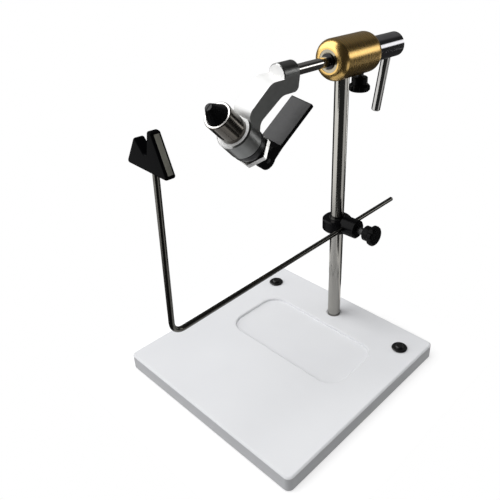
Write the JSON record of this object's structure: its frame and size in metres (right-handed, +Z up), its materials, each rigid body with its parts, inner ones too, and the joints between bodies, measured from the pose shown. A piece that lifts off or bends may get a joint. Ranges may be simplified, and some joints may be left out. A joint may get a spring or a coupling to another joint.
{
  "type": "rotary fly tying vise",
  "caption": "Fly tying vise on a square pedestal base: spring jaws with a cam lever on a cranked arm, turning in a brass housing on a post, with a bobbin rest on a bent rod.",
  "frame": {"origin": "centre of the underside of the rubber mat, where the base stands on the bench", "axes": "+Z up along the post, jaws towards -Y, crank towards +Y, +X to the right seen from the jaws"},
  "size_m": [0.1524, 0.2111, 0.2191],
  "materials": {
    "powder_coat": "fine satin powder coat",
    "mat_rubber": "matt",
    "screw_steel": "turned",
    "plug_rubber": "moulded satin",
    "post_steel": "polished",
    "housing_brass": "satin turned",
    "bearing_steel": "ground",
    "shield_steel": "pressed sheet",
    "black_screw": "black oxide",
    "knob_plastic": "moulded satin",
    "white_nylon": "satin",
    "shaft_steel": "ground",
    "clip_steel": "blackened spring steel",
    "crank_steel": "polished",
    "handle_steel": "polished",
    "arm_aluminium": "bead blasted",
    "tube_steel": "turned and polished",
    "black_ring": "black oxide",
    "nut_steel": "polished",
    "jaw_steel": "black oxide on hardened steel",
    "spring_steel": "drawn wire",
    "lever_black": "black anodised",
    "liner_nylon": "satin",
    "clamp_black": "black anodised",
    "rod_steel": "polished",
    "rest_plastic": "glossy black"
  },
  "bodies": {
    "stand": {"base_plate": "powder_coat", "base_mat": "mat_rubber", "post_screw": "screw_steel", "post": "post_steel", "housing": "housing_brass", "housing_set_screw": "black_screw", "bearing_outer_races": "bearing_steel", "bearing_balls": "bearing_steel", "bearing_shields": "shield_steel"},
    "left_plug": {"accessory_plug_left": "plug_rubber"},
    "right_plug": {"accessory_plug_right": "plug_rubber"},
    "rotor": {"shaft": "shaft_steel", "bearing_inner_races": "bearing_steel", "shaft_clip": "clip_steel", "crank_hub": "crank_steel", "crank_handle": "handle_steel", "crank_set_screw": "black_screw", "arm": "arm_aluminium", "arm_set_screws": "black_screw", "jaw_tube": "tube_steel", "lock_ring": "black_ring", "jaw_spring": "spring_steel"},
    "nut": {"adjusting_nut": "nut_steel"},
    "draw_bar": {"draw_rod": "screw_steel", "jaw_pin": "screw_steel", "cam_pin": "black_screw"},
    "lever": {"cam_lever": "lever_black"},
    "jaw_left": {"left_jaw": "jaw_steel"},
    "jaw_right": {"right_jaw": "jaw_steel"},
    "lock_screw": {"lock_knob": "knob_plastic", "lock_stud": "black_screw", "brake_pad": "white_nylon"},
    "sleeve": {"clamp_liner": "liner_nylon"},
    "clamp": {"clamp_body": "clamp_black", "clamp_shoe": "white_nylon"},
    "clamp_screw": {"clamp_knob": "knob_plastic", "clamp_stud": "black_screw"},
    "rod": {"cradle_rod": "rod_steel"},
    "rest": {"bobbin_rest": "rest_plastic"}
  },
  "joints": [
    {"name": "rotor_spin", "type": "hinge", "parent": "stand", "child": "rotor", "pos_m": [0, 0.0423, 0.2064], "axis": [0, 1, 0], "continuous": true},
    {"name": "lock_screw_turn", "type": "hinge", "parent": "stand", "child": "lock_screw", "pos_m": [0, 0.075, 0.1914], "axis": [0, 0, 1], "range_deg": [-60, 360]},
    {"name": "left_plug_lift", "type": "slide", "parent": "stand", "child": "left_plug", "axis": [0, 0, 1], "range_m": [0, 0.03]},
    {"name": "right_plug_lift", "type": "slide", "parent": "stand", "child": "right_plug", "axis": [0, 0, 1], "range_m": [0, 0.03]},
    {"name": "draw_slide", "type": "slide", "parent": "rotor", "child": "draw_bar", "axis": [0.1042, -0.7009, 0.7056], "range_m": [0, 0.0007]},
    {"name": "nut_turn", "type": "hinge", "parent": "rotor", "child": "nut", "pos_m": [-0.0061, -0.01521, 0.16506], "axis": [0.1042, -0.7009, 0.7056], "range_deg": [-180, 180]},
    {"name": "cam_lever_turn", "type": "hinge", "parent": "draw_bar", "child": "lever", "pos_m": [-0.00682, -0.01038, 0.16019], "axis": [0.9893, 0, -0.1461], "range_deg": [-90, 0]},
    {"name": "left_jaw_swing", "type": "hinge", "parent": "draw_bar", "child": "jaw_left", "pos_m": [-0.00303, -0.03589, 0.18588], "axis": [0.1024, 0.7133, 0.6934], "range_deg": [-2.5, 0]},
    {"name": "right_jaw_swing", "type": "hinge", "parent": "draw_bar", "child": "jaw_right", "pos_m": [-0.00303, -0.03589, 0.18588], "axis": [0.1024, 0.7133, 0.6934], "range_deg": [0, 2.5]},
    {"name": "clamp_height", "type": "slide", "parent": "stand", "child": "sleeve", "axis": [0, 0, 1], "range_m": [-0.06, 0.055]},
    {"name": "clamp_swing", "type": "hinge", "parent": "sleeve", "child": "clamp", "pos_m": [0, 0.0565, 0.092], "axis": [0, 0, 1], "continuous": true},
    {"name": "clamp_screw_turn", "type": "hinge", "parent": "clamp", "child": "clamp_screw", "pos_m": [0.02419, 0.05713, 0.092], "axis": [0.9997, 0.0262, 0], "range_deg": [-60, 360]},
    {"name": "cradle_reach", "type": "slide", "parent": "clamp", "child": "rod", "axis": [0.0262, -0.9997, 0], "range_m": [-0.03, 0.045]},
    {"name": "rest_swivel", "type": "hinge", "parent": "rod", "child": "rest", "pos_m": [0.0134, -0.0962, 0.092], "axis": [-0.0008, 0.0314, 0.9995], "range_deg": [-90, 90]}
  ],
  "couplings": [
    {"joint": "draw_slide", "follows": "cam_lever_turn", "m_per_rad": -0.00044563},
    {"joint": "left_jaw_swing", "follows": "cam_lever_turn", "ratio": 0.027778},
    {"joint": "right_jaw_swing", "follows": "cam_lever_turn", "ratio": -0.027778}
  ]
}
